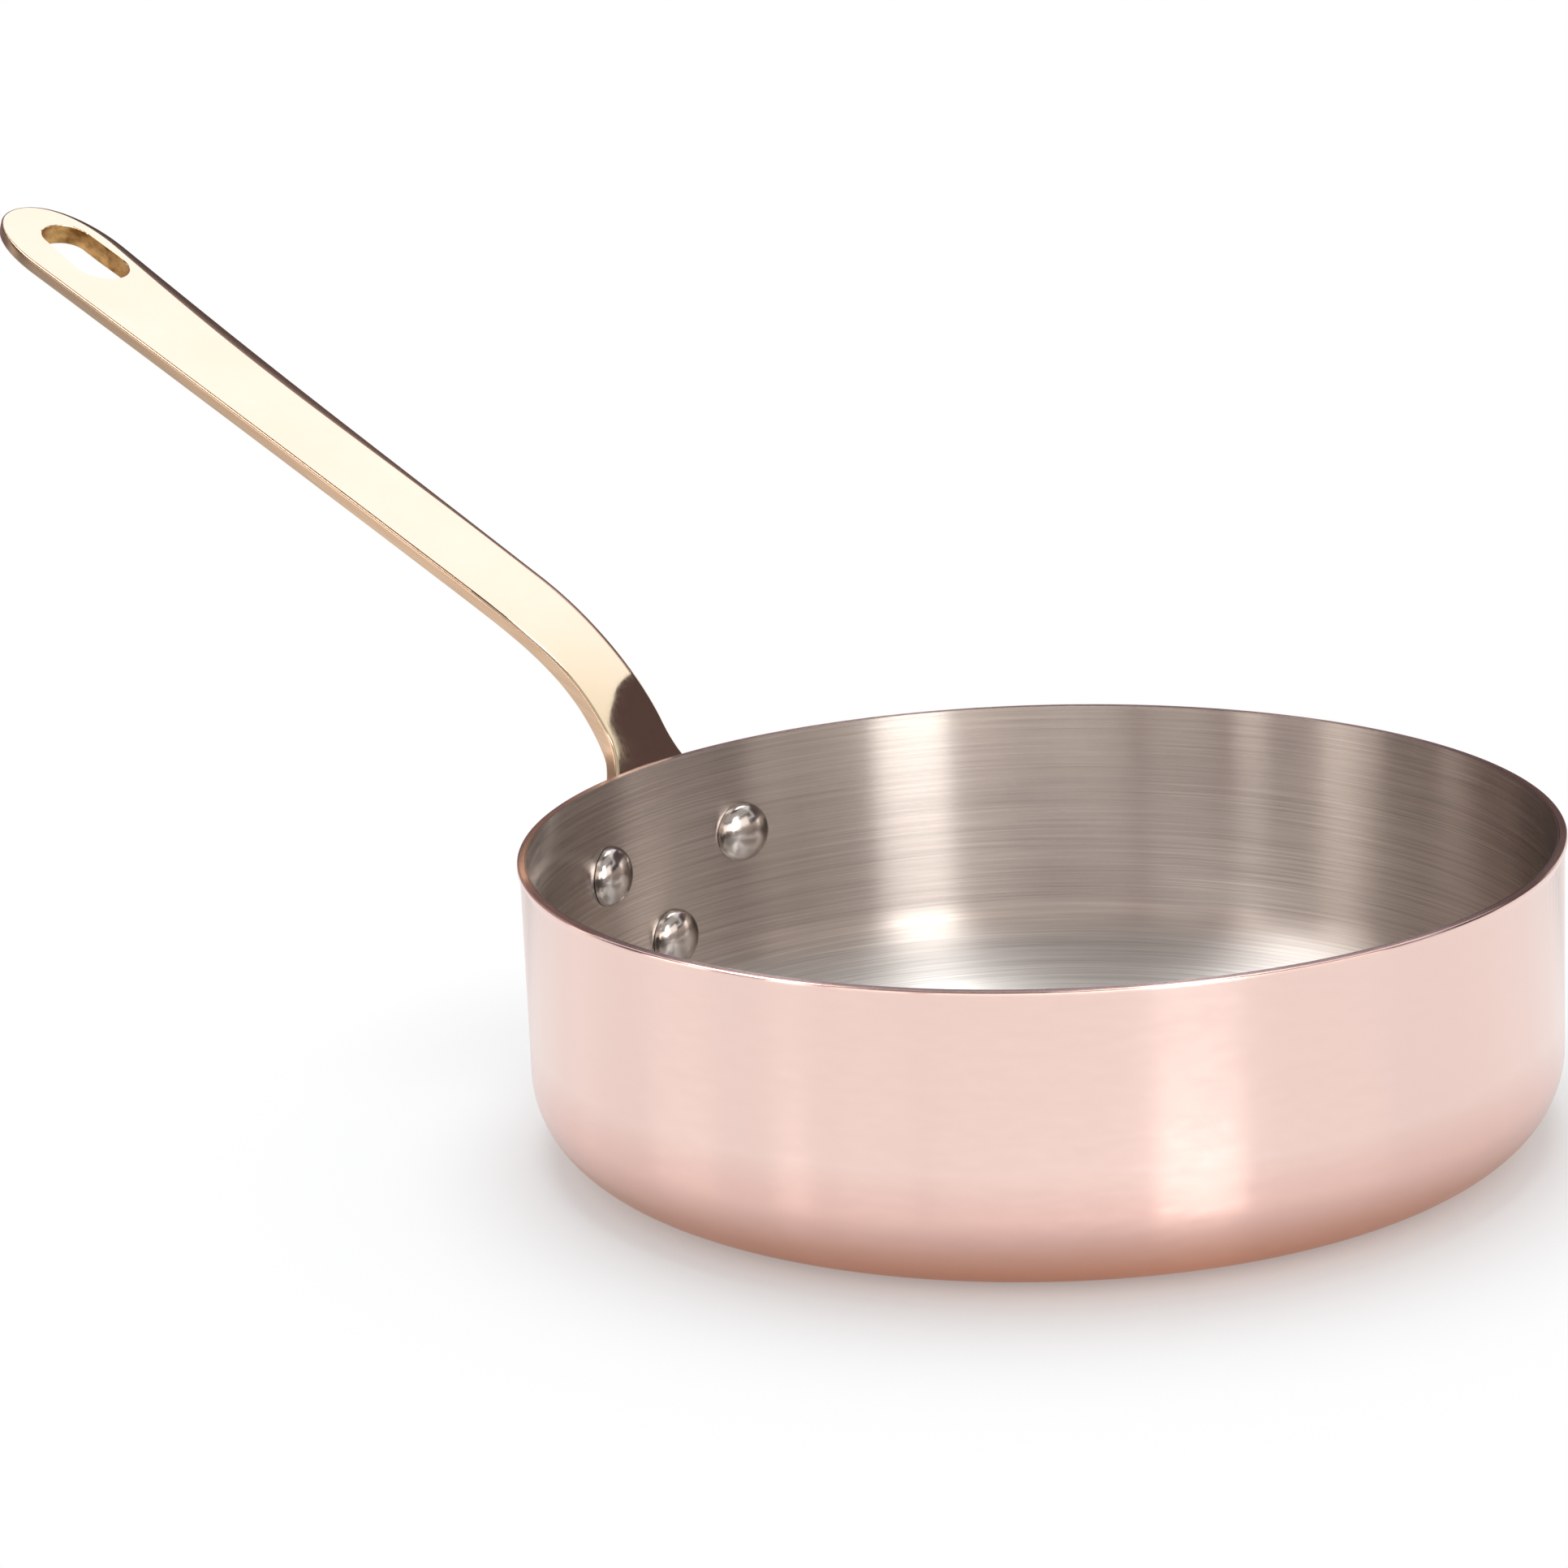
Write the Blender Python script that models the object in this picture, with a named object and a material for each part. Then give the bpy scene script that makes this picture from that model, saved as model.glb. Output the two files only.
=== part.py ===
"""Copper saute pan with a cast brass handle.

The pan stands on the origin with +Z up, and its handle points along +X. All lengths are in metres.
A copper shell is lined with a skin of stainless steel. The curved flange of the handle lies on the
outside of the wall, and three steel rivets go through flange, shell and lining.
"""
import math
from bisect import bisect

import bmesh
import bpy
from mathutils import Matrix, Vector
from mathutils.geometry import interpolate_bezier

MM = 0.001

# Pan
rim_diameter = 240 * MM
pan_height = 70 * MM
lip_overhang = 0.6 * MM
lip_height = 2.2 * MM
lip_rounding = 0.5 * MM
base_corner_radius = 20 * MM
copper_thickness = 1.2 * MM
bond_gap = 0.1 * MM
lining_thickness = 0.3 * MM

# Rivets
rivets_below_rim = 23.3 * MM
lower_rivet_drop = 22.2 * MM
rivet_spread = 48.8 * MM
rivet_head_diameter = 15 * MM
rivet_head_height = 4.2 * MM
rivet_shank_diameter = 6.4 * MM
rivet_tail_diameter = 11 * MM
rivet_tail_height = 2 * MM
rivet_hole_clearance = 0.2 * MM
rivet_seat_gap = 0.15 * MM

# Flange of the handle
seat_gap = 0.25 * MM
lobe_radius = 9.5 * MM
waist_radius = 30 * MM
shoulder_fall = math.radians(30)
neck_fillet_radius = 21 * MM
flange_edge_thickness = 3.2 * MM
foot_crown = 0.4 * MM
shoulder_crown = 4.2 * MM
rib_spread = 11 * MM

# Bend of the handle
bend_start_below_rim = 20 * MM
bend_reach = 50.8 * MM
bend_rise = 59.2 * MM
bend_pull_up = 35.6 * MM
bend_pull_back = 23.5 * MM
handle_slope = math.radians(24.8)

# Bar of the handle
straight_length = 198.5 * MM
neck_width = 19.6 * MM
neck_length = 9 * MM
root_width = 24 * MM
middle_width = 27.1 * MM
end_width = 31.8 * MM
tip_length = 27 * MM
tip_fullness = 2.1
neck_edge_thickness = 4.4 * MM
bar_edge_thickness = 3.2 * MM
bar_crown = 3.4 * MM
edge_rounding = 0.8 * MM

# Eye slot, measured from the tip and from the centre line of the bar
eye_wide_diameter = 15.8 * MM
eye_wide_from_tip = 33 * MM
eye_wide_offset = 2.1 * MM
eye_narrow_diameter = 14.2 * MM
eye_narrow_from_tip = 18.5 * MM
eye_narrow_offset = 2.5 * MM
eye_chamfer = 0.3 * MM

# Fineness of the curves
turning_steps = 96
corner_steps = 8
lip_steps = 3
rivet_steps = 24
head_steps = 6
columns = 10
lobe_steps = 9
waist_steps = 6
fillet_steps = 8
bend_line_steps = 72
bend_steps = 14
bar_steps = 10
tip_steps = 12
eye_steps = 18

# Places that follow from the sizes
rim_radius = rim_diameter / 2
wall_radius = rim_radius - lip_overhang
lining_radius = wall_radius - copper_thickness - bond_gap
lining_corner_radius = base_corner_radius - copper_thickness - bond_gap
lining_underside = copper_thickness + bond_gap
inner_radius = lining_radius - lining_thickness
inner_corner_radius = lining_corner_radius - lining_thickness
inner_floor = lining_underside + lining_thickness
seat_radius = wall_radius + seat_gap
rivet_row_height = pan_height - rivets_below_rim
lower_rivet_height = rivet_row_height - lower_rivet_drop
foot_height = lower_rivet_height - lobe_radius
bend_start_height = pan_height - bend_start_below_rim


# Shared steps


def clear_scene():
    for old in list(bpy.data.objects):
        bpy.data.objects.remove(old, do_unlink=True)


def make_material(name, colour, roughness):
    material = bpy.data.materials.new(name)
    material.use_nodes = True
    shader = material.node_tree.nodes["Principled BSDF"]
    shader.inputs["Base Color"].default_value = (*colour, 1)
    shader.inputs["Metallic"].default_value = 1
    shader.inputs["Roughness"].default_value = roughness
    material.diffuse_color = (*colour, 1)
    return material


def finish_mesh(build, name, crease=math.radians(50)):
    """Closes the seams of a mesh under construction, turns its faces outwards and shades it."""
    bmesh.ops.remove_doubles(build, verts=build.verts, dist=0.002 * MM)
    bmesh.ops.recalc_face_normals(build, faces=build.faces)
    mesh = bpy.data.meshes.new(name)
    build.to_mesh(mesh)
    build.free()
    mesh.shade_smooth()
    mesh.set_sharp_from_angle(angle=crease)
    return mesh


def add_object(name, mesh, parent=None, location=(0, 0, 0), turn=0):
    piece = bpy.data.objects.new(name, mesh)
    bpy.context.scene.collection.objects.link(piece)
    piece.parent = parent
    piece.location = location
    piece.rotation_euler.z = turn
    return piece


def add_cutter(name, mesh, parent):
    cutter = add_object(name, mesh, parent)
    cutter.hide_render = True
    cutter.display_type = "WIRE"
    return cutter


def cut(piece, cutter):
    modifier = piece.modifiers.new(cutter.name, "BOOLEAN")
    modifier.operation = "DIFFERENCE"
    modifier.solver = "EXACT"
    modifier.object = cutter


def arc(centre, radius, start, end, steps):
    """Points of an arc in a plane, from the start angle to the end angle."""
    angles = [start + (end - start) * i / steps for i in range(steps + 1)]
    return [(centre[0] + radius * math.cos(a), centre[1] + radius * math.sin(a)) for a in angles]


def mix(first, second, share):
    return first + (second - first) * share


def ease(value, low, high):
    """Rises from 0 to 1 between two values, with a level start and end."""
    share = min(max((value - low) / (high - low), 0), 1)
    return share * share * (3 - 2 * share)


# Pan body: two dishes, one inside the other


def dish_profile(radius, floor, corner_radius):
    """One side of a dish in radius and height, from its wall down round the corner to its floor."""
    return arc((radius - corner_radius, floor + corner_radius), corner_radius, 0, -math.pi / 2, corner_steps)


def turn_profile(name, profile):
    """Turns a profile about the pan's axis. It starts and ends on the axis."""
    build = bmesh.new()
    points = [build.verts.new((radius, 0, height)) for radius, height in profile]
    edges = [build.edges.new(pair) for pair in zip(points, points[1:])]
    bmesh.ops.spin(
        build, geom=points + edges, axis=(0, 0, 1), angle=2 * math.pi, steps=turning_steps, use_merge=True
    )
    return finish_mesh(build, name)


def copper_shell_mesh():
    inside = dish_profile(
        wall_radius - copper_thickness, copper_thickness, base_corner_radius - copper_thickness
    )
    outside = dish_profile(wall_radius, 0, base_corner_radius)
    lip = arc((rim_radius - lip_rounding, pan_height - lip_rounding), lip_rounding, math.pi / 2, 0, lip_steps)
    underlip = [(rim_radius, pan_height - lip_height / 2), (wall_radius, pan_height - lip_height)]
    top_inside = (wall_radius - copper_thickness, pan_height)
    inner_half = [(0, copper_thickness)] + inside[::-1] + [top_inside]
    return turn_profile("copper_shell", inner_half + lip + underlip + outside + [(0, 0)])


def steel_lining_mesh():
    inside = dish_profile(inner_radius, inner_floor, inner_corner_radius)
    outside = dish_profile(lining_radius, lining_underside, lining_corner_radius)
    rim = [(inner_radius, pan_height), (lining_radius, pan_height)]
    return turn_profile(
        "steel_lining", [(0, inner_floor)] + inside[::-1] + rim + outside + [(0, lining_underside)]
    )


def inner_radius_at(height):
    """Radius of the cooking side at a height, which draws in round the base corner."""
    below = min(max(inner_floor + inner_corner_radius - height, 0), inner_corner_radius)
    return inner_radius - inner_corner_radius + math.sqrt(inner_corner_radius**2 - below**2)


# Handle: drawn flat as an outline and a thickness, then bent onto the line that its face follows


class FaceLine:
    """The line of the handle's face in the XZ plane: up the wall, round the bend and straight out."""

    def __init__(self):
        foot = Vector((seat_radius, 0, foot_height))
        bend_start = Vector((seat_radius, 0, bend_start_height))
        bend_end = bend_start + Vector((bend_reach, 0, bend_rise))
        slope = Vector((math.cos(handle_slope), 0, math.sin(handle_slope)))
        pull_up = bend_start + Vector((0, 0, bend_pull_up))
        pull_back = bend_end - slope * bend_pull_back
        bend = interpolate_bezier(bend_start, pull_up, pull_back, bend_end, bend_line_steps + 1)
        self.points = [foot] + bend + [bend_end + slope * straight_length]
        self.distances = [0]
        for first, second in zip(self.points, self.points[1:]):
            self.distances.append(self.distances[-1] + (second - first).length)
        self.bend_start = self.distances[1]
        self.bend_end = self.distances[-2]
        self.tip = self.distances[-1]

    def point(self, distance):
        distance = min(max(distance, 0), self.tip)
        i = min(bisect(self.distances, distance), len(self.points) - 1)
        share = (distance - self.distances[i - 1]) / (self.distances[i] - self.distances[i - 1])
        return self.points[i - 1].lerp(self.points[i], share)

    def direction(self, distance, step=MM):
        return (self.point(distance + step) - self.point(distance - step)).normalized()


class HandleDrawing:
    """The handle laid flat: places on it are a distance from the foot and a way across the middle."""

    def __init__(self, line):
        self.line = line
        self.shoulder_angle = math.pi / 2 - shoulder_fall
        upper_lobe = self.upper_lobe()
        self.shoulder = upper_lobe[1] + lobe_radius * math.sin(self.shoulder_angle)
        self.fillet_centre = self.find_fillet_centre(upper_lobe)
        self.neck = self.fillet_centre[1]
        self.tip_start = line.tip - tip_length

    def upper_lobe(self):
        return (rivet_spread / 2, lobe_radius + lower_rivet_drop)

    def find_fillet_centre(self, upper_lobe):
        """The fillet touches the side of the neck and the sloping shoulder of the flange."""
        cosine, sine = math.cos(self.shoulder_angle), math.sin(self.shoulder_angle)
        across = neck_width / 2 + neck_fillet_radius
        reach = lobe_radius + neck_fillet_radius
        slide = (upper_lobe[0] + reach * cosine - across) / sine
        return (across, upper_lobe[1] + reach * sine + slide * cosine)

    def flange_outline(self):
        """Three lobes round the rivets, joined by hollow waists below and by the shoulders to the neck."""
        lower, upper = (0, lobe_radius), self.upper_lobe()
        rise, run = upper[1] - lower[1], upper[0] - lower[0]
        reach = lobe_radius + waist_radius
        opening = math.acos(math.hypot(rise, run) / 2 / reach)
        leave = math.atan2(rise, run) - opening
        arrive = math.atan2(rise, run) + opening - math.pi
        waist = (lower[0] + reach * math.cos(leave), lower[1] + reach * math.sin(leave))
        outline = arc(lower, lobe_radius, -math.pi / 2, leave, lobe_steps)
        outline += arc(waist, waist_radius, leave + math.pi, arrive + math.pi, waist_steps)[1:-1]
        outline += arc(upper, lobe_radius, arrive, self.shoulder_angle, lobe_steps)
        outline += arc(
            self.fillet_centre, neck_fillet_radius, math.pi + self.shoulder_angle, math.pi, fillet_steps
        )
        return outline

    def bar_half_width(self, distance):
        widened = ease(distance, self.neck + neck_length, self.line.bend_end)
        along = max(distance - self.line.bend_end, 0) / (self.tip_start - self.line.bend_end)
        bow = 4 * (middle_width - (root_width + end_width) / 2) * along * (1 - along)
        width = mix(neck_width, mix(root_width, end_width, along) + bow, widened)
        return width / 2 * self.tip_share(distance)

    def tip_share(self, distance):
        """Share of its full width that the rounded tip has left. It is a little fuller than an ellipse."""
        into_tip = min(max(distance - self.tip_start, 0) / tip_length, 1)
        return (1 - into_tip**tip_fullness) ** (1 / tip_fullness)

    def bar_outline(self):
        line = self.line
        bend = [mix(self.neck, line.bend_end, i / bend_steps) for i in range(1, bend_steps + 1)]
        bar = [mix(line.bend_end, self.tip_start, i / bar_steps) for i in range(1, bar_steps + 1)]
        turns = [math.sin(math.pi / 2 * i / tip_steps) for i in range(1, tip_steps + 1)]
        tip = [self.tip_start + tip_length * turn ** (2 / tip_fullness) for turn in turns]
        return [(self.bar_half_width(distance), distance) for distance in bend + bar + tip]

    def edge_thickness(self, distance):
        up_to_neck = mix(
            flange_edge_thickness, neck_edge_thickness, ease(distance, self.shoulder, self.neck)
        )
        return mix(up_to_neck, bar_edge_thickness, ease(distance, self.neck, self.line.bend_end))

    def thickness(self, across, distance):
        """Edge thickness and a crown: a soft rib up the flange, which turns into the bar's round back."""
        along_rib = mix(foot_crown, shoulder_crown, ease(distance, lobe_radius, self.shoulder))
        on_bar = ease(distance, self.shoulder, self.neck)
        rib = math.exp(-((across / rib_spread) ** 2))
        half_width = max(self.bar_half_width(distance), MM)
        back = max(1 - (across / half_width) ** 2, 0) * self.tip_share(distance)
        return self.edge_thickness(distance) + mix(along_rib, bar_crown, on_bar) * mix(rib, back, on_bar)

    def place(self, across, distance, depth):
        """Bends a place at a depth below the face onto the line and, on the flange, round the wall."""
        line = self.line
        along = line.direction(distance)
        away = Vector((along.z, 0, -along.x))
        sideways = Vector((0, 1, 0))
        centre = line.point(distance)
        flat = ease(distance, self.shoulder, self.neck + neck_length)
        if flat == 1:
            return centre + sideways * across + away * depth
        radius = seat_radius / (1 - flat)
        turn = across / radius
        normal = away * math.cos(turn) + sideways * math.sin(turn)
        return centre - away * radius + normal * (radius + depth)


def inset_outline(outline):
    """Each point of a half outline moved inwards by the rounding of the edge and by a part of it."""
    mirrored_ends = [(-outline[1][0], outline[1][1])] + outline + [(-outline[-2][0], outline[-2][1])]
    moves = []
    for before, after in zip(mirrored_ends, mirrored_ends[2:]):
        across, along = after[0] - before[0], after[1] - before[1]
        length = math.hypot(across, along)
        moves.append((-along / length * edge_rounding, across / length * edge_rounding))
    return moves


def handle_ring(drawing, edge, move):
    """The handle's section through one point of its outline, as a closed ring of places."""
    soft = 1 - math.sqrt(0.5)
    near = (edge[0] + move[0] * soft, edge[1] + move[1] * soft)
    inner = (edge[0] + move[0], edge[1] + move[1])
    edge_depth = drawing.thickness(edge[0], edge[1])
    back = []
    for i in range(columns + 1):
        across = inner[0] * (2 * i / columns - 1)
        back.append((across, inner[1], drawing.thickness(across, inner[1])))
    face = [(across, distance, 0) for across, distance, _ in back[::-1]]
    side = [
        (near[0], near[1], mix(edge_depth, back[-1][2], 0.5) - edge_rounding * soft),
        (edge[0], edge[1], edge_depth - edge_rounding),
        (edge[0], edge[1], edge_rounding),
        (near[0], near[1], edge_rounding * soft),
    ]
    other_side = [(-across, distance, depth) for across, distance, depth in side[::-1]]
    return back + side + face + other_side


def brass_handle_mesh(drawing):
    outline = drawing.flange_outline() + drawing.bar_outline()
    build = bmesh.new()
    rings = []
    for edge, move in zip(outline, inset_outline(outline)):
        rings.append([build.verts.new(drawing.place(*spot)) for spot in handle_ring(drawing, edge, move)])
    for ring, following in zip(rings, rings[1:]):
        for i in range(len(ring)):
            build.faces.new((ring[i - 1], ring[i], following[i], following[i - 1]))
    return finish_mesh(build, "brass_handle")


def eye_slot_mesh(drawing):
    """Cutter for the eye: a wide round end and a narrow one with straight sides, chamfered at the face."""
    wide = (-eye_wide_offset, drawing.line.tip - eye_wide_from_tip)
    narrow = (-eye_narrow_offset, drawing.line.tip - eye_narrow_from_tip)
    run, rise = narrow[0] - wide[0], narrow[1] - wide[1]
    heading = math.atan2(rise, run)
    opening = math.acos((eye_wide_diameter - eye_narrow_diameter) / 2 / math.hypot(run, rise))
    above = eye_chamfer + edge_rounding
    below = drawing.thickness(0, wide[1]) + edge_rounding
    build = bmesh.new()
    rings = []
    for depth, growth in ((-above, above + eye_chamfer), (eye_chamfer, 0), (below, 0)):
        outline = arc(
            wide, eye_wide_diameter / 2 + growth, heading + opening, heading + 2 * math.pi - opening, eye_steps
        )
        outline += arc(
            narrow, eye_narrow_diameter / 2 + growth, heading - opening, heading + opening, eye_steps
        )
        rings.append([build.verts.new(drawing.place(across, along, depth)) for across, along in outline])
    for ring, following in zip(rings, rings[1:]):
        for i in range(len(ring)):
            build.faces.new((ring[i - 1], ring[i], following[i], following[i - 1]))
    build.faces.new(rings[0])
    build.faces.new(rings[-1])
    return finish_mesh(build, "eye_slot")


# Rivets: each is a domed head inside the pan, a shank and a low tail hammered onto the flange


def rivet_places():
    """Height and angle about the pan's axis of each rivet."""
    half_turn = rivet_spread / 2 / seat_radius
    return {
        "rivet_upper_left": (rivet_row_height, half_turn),
        "rivet_upper_right": (rivet_row_height, -half_turn),
        "rivet_lower": (lower_rivet_height, 0),
    }


def rivet_mesh(name, drawing, height, angle):
    """A rivet along +X from the pan's axis. Head and tail follow the curves that they are seated on."""
    head_angles = [math.pi / 2 * i / head_steps for i in range(head_steps + 1)]
    head = [(1 - math.cos(a), math.sin(a)) for a in head_angles]
    head_rings = [
        (share * rivet_head_diameter / 2, -rivet_head_height * (1 - drop)) for drop, share in head
    ]
    tail_rings = [
        (share * rivet_tail_diameter / 2, rivet_tail_height * (1 - drop)) for drop, share in head[::-2]
    ]
    shank = (rivet_shank_diameter / 2, 0)
    spread = angle * seat_radius
    foot = height - foot_height

    def inside(y, z):
        return math.sqrt(inner_radius_at(height + z) ** 2 - y**2) - rivet_seat_gap

    def outside(y, z):
        back = max(drawing.thickness(spread + y, foot + z), drawing.thickness(spread - y, foot + z))
        return math.sqrt((seat_radius + back) ** 2 - y**2) + rivet_seat_gap

    build = bmesh.new()
    rings = []
    stack = [(inside, spot) for spot in head_rings + [shank]]
    stack += [(outside, spot) for spot in [shank] + tail_rings]
    for surface, (radius, lift) in stack:
        around = [2 * math.pi * i / rivet_steps for i in range(rivet_steps)]
        spots = [(radius * math.cos(a), radius * math.sin(a)) for a in around]
        rings.append([build.verts.new((surface(y, z) + lift, y, z)) for y, z in spots])
    for ring, following in zip(rings, rings[1:]):
        for i in range(len(ring)):
            build.faces.new((ring[i - 1], ring[i], following[i], following[i - 1]))
    return finish_mesh(build, name)


def rivet_holes_mesh():
    build = bmesh.new()
    length = 2 * (rivet_head_height + flange_edge_thickness + shoulder_crown + rivet_tail_height)
    for height, angle in rivet_places().values():
        stand = Matrix.Rotation(angle, 4, "Z") @ Matrix.Translation((wall_radius, 0, height))
        bmesh.ops.create_cone(
            build,
            cap_ends=True,
            segments=rivet_steps,
            radius1=rivet_shank_diameter / 2 + rivet_hole_clearance,
            radius2=rivet_shank_diameter / 2 + rivet_hole_clearance,
            depth=length,
            matrix=stand @ Matrix.Rotation(math.pi / 2, 4, "Y"),
        )
    return finish_mesh(build, "rivet_holes")


# Assembly


def make_pan():
    clear_scene()
    copper = make_material("polished_copper", (0.93, 0.6, 0.48), 0.12)
    steel = make_material("brushed_steel", (0.6, 0.56, 0.53), 0.28)
    brass = make_material("cast_brass", (0.9, 0.76, 0.47), 0.18)
    rivet_steel = make_material("polished_rivet_steel", (0.66, 0.63, 0.6), 0.15)
    pan = add_object("saute_pan", None)
    drawing = HandleDrawing(FaceLine())
    rivet_holes = add_cutter("rivet_holes", rivet_holes_mesh(), pan)
    eye_slot = add_cutter("eye_slot", eye_slot_mesh(drawing), pan)
    bodies = (
        ("copper_shell", copper_shell_mesh(), copper),
        ("steel_lining", steel_lining_mesh(), steel),
        ("brass_handle", brass_handle_mesh(drawing), brass),
    )
    for name, mesh, material in bodies:
        mesh.materials.append(material)
        cut(add_object(name, mesh, pan), rivet_holes)
    cut(bpy.data.objects["brass_handle"], eye_slot)
    for name, (height, angle) in rivet_places().items():
        mesh = rivet_mesh(name, drawing, height, angle)
        mesh.materials.append(rivet_steel)
        add_object(name, mesh, pan, (0, 0, height), angle)


make_pan()
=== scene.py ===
import math
from bisect import bisect

import bmesh
import bpy
from mathutils import Matrix, Vector
from mathutils.geometry import interpolate_bezier


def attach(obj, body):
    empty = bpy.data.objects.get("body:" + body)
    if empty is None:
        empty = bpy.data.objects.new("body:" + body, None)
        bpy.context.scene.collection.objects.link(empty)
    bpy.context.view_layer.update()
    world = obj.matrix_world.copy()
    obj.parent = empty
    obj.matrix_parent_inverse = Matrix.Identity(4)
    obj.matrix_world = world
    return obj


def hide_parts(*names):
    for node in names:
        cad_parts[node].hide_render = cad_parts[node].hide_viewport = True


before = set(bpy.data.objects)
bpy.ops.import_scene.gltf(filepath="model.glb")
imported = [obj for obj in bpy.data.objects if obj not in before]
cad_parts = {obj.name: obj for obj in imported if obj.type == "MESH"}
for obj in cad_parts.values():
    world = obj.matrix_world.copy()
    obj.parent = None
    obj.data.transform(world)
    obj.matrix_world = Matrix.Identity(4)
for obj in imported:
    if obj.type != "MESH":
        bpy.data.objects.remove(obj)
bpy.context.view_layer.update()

# Copper shell
# The outer dish of the pan, spun from one sheet of copper and polished. Its wall is straight, its base corner
# is round, and a low lip stands out at the top. Towards the base its colour is painted browner and darker, a
# painted reflection of the table's shadow and of light bounced between the copper and the table.

mm = 0.001
rim_radius = 120 * mm
pan_height = 70 * mm
wall_radius = 119.4 * mm
copper_thickness = 1.2 * mm
base_corner = 20 * mm
lip_height = 2.2 * mm
lip_rounding = 0.5 * mm
painted_reflection_height = 30 * mm
turned_steps = 240
corner_steps = 20
lip_steps = 6
weld_distance = 0.001 * mm
crisp_angle = math.radians(40)


def arc(centre, radius, start, end, steps):
    """Points of an arc in a plane, from a start angle to an end angle."""
    angles = [start + (end - start) * i / steps for i in range(steps + 1)]
    return [(centre[0] + radius * math.cos(a), centre[1] + radius * math.sin(a)) for a in angles]


def dish_side(radius, floor, corner):
    """The rounded corner of a dish, from its wall down to its floor."""
    return arc((radius - corner, floor + corner), corner, 0, -math.pi / 2, corner_steps)


def place_mesh(name, build):
    """Turns a mesh under construction into a piece of the scene, with smooth faces and crisp corners."""
    bmesh.ops.remove_doubles(build, verts=build.verts, dist=weld_distance)
    bmesh.ops.recalc_face_normals(build, faces=build.faces)
    mesh = bpy.data.meshes.new(name)
    build.to_mesh(mesh)
    build.free()
    mesh.shade_smooth()
    mesh.set_sharp_from_angle(angle=crisp_angle)
    piece = bpy.data.objects.new(name, mesh)
    bpy.context.scene.collection.objects.link(piece)
    return piece


def turned_piece(name, profile):
    """Turns a profile of radius and height about the pan's axis, as on a spinning lathe."""
    build = bmesh.new()
    points = [build.verts.new((radius, 0, height)) for radius, height in profile]
    edges = [build.edges.new(pair) for pair in zip(points, points[1:])]
    bmesh.ops.spin(
        build, geom=points + edges, axis=(0, 0, 1), angle=2 * math.pi, steps=turned_steps, use_merge=True
    )
    return place_mesh(name, build)


def new_finish(name, colour, roughness):
    """A metal finish, with its nodes and its shader."""
    finish = bpy.data.materials.new(name)
    finish.use_nodes = True
    shader = finish.node_tree.nodes["Principled BSDF"]
    shader.inputs["Base Color"].default_value = (*colour, 1)
    shader.inputs["Metallic"].default_value = 1
    shader.inputs["Roughness"].default_value = roughness
    return finish, shader


def feed(finish, socket, source):
    """Wires a source to the input of a node, or sets the input to a plain value."""
    if isinstance(source, bpy.types.NodeSocket):
        finish.node_tree.links.new(source, socket)
    else:
        socket.default_value = source


def step(finish, kind, *sources, **settings):
    """Adds one node. A source feeds the input of the same place, and a setting the input of its name."""
    node = finish.node_tree.nodes.new(kind)
    for key, value in settings.items():
        if key in node.inputs:
            feed(finish, node.inputs[key], value)
        else:
            setattr(node, key, value)
    for place, source in enumerate(sources):
        if source is not None:
            feed(finish, node.inputs[place], source)
    return node


def reckon(finish, operation, *numbers):
    """Works out one number from others."""
    return step(finish, "ShaderNodeMath", *numbers, operation=operation).outputs[0]


def reckon_place(finish, operation, *places, **settings):
    """Works out a place or a direction from others, or the one number that a length or a product is."""
    node = step(finish, "ShaderNodeVectorMath", *places, operation=operation, **settings)
    return node.outputs["Value" if operation in ("LENGTH", "DOT_PRODUCT") else "Vector"]


def rescale(finish, value, low, high, at_low, at_high, **settings):
    """Turns the range from low to high into another range, and holds still past its ends."""
    return step(finish, "ShaderNodeMapRange", value, low, high, at_low, at_high, **settings).outputs[0]


def own_place(finish):
    """The place on a piece, measured from the middle of the pan's base."""
    return step(finish, "ShaderNodeTexCoord").outputs["Object"]


def own_reach(finish, axis):
    """How far a place on a piece lies along one axis."""
    return step(finish, "ShaderNodeSeparateXYZ", own_place(finish)).outputs[axis]


def pattern(finish, place, scale, detail, roughness=0.5):
    """A soft uneven pattern around 0.5. Where no place is given, it is spread over the piece's own box."""
    return step(
        finish, "ShaderNodeTexNoise", place, Scale=scale, Detail=detail, Roughness=roughness
    ).outputs["Fac"]


def tones(finish, share, *stops):
    """Colours laid out along a share from 0 to 1. Each stop is a place there and its colour."""
    ramp = step(finish, "ShaderNodeValToRGB", share)
    for element, (place, colour) in zip(ramp.color_ramp.elements, (stops[0], stops[-1])):
        element.position = place
        element.color = (*colour, 1)
    for place, colour in stops[1:-1]:
        ramp.color_ramp.elements.new(place).color = (*colour, 1)
    return ramp.outputs["Color"]


def blend(finish, share, first, second, **settings):
    """Blends two colours. The node's colours come after five inputs for numbers and directions."""
    skipped = [None] * 5
    return step(
        finish, "ShaderNodeMix", share, *skipped, first, second, data_type="RGBA", **settings
    ).outputs[2]


def relief(finish, heights, strength, depth):
    """A fine relief, from a pattern of heights."""
    return step(finish, "ShaderNodeBump", Strength=strength, Distance=depth, Height=heights).outputs[0]


def brush_round(finish, shader):
    """Stretches the shine of a metal that is brushed round the pan, and gives back the brushing's way."""
    shader.inputs["Anisotropic"].default_value = 1
    shader.inputs["Anisotropic Rotation"].default_value = 0.25
    way = step(finish, "ShaderNodeTangent", direction_type="RADIAL", axis="Z").outputs[0]
    feed(finish, shader.inputs["Tangent"], way)
    return way


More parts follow.
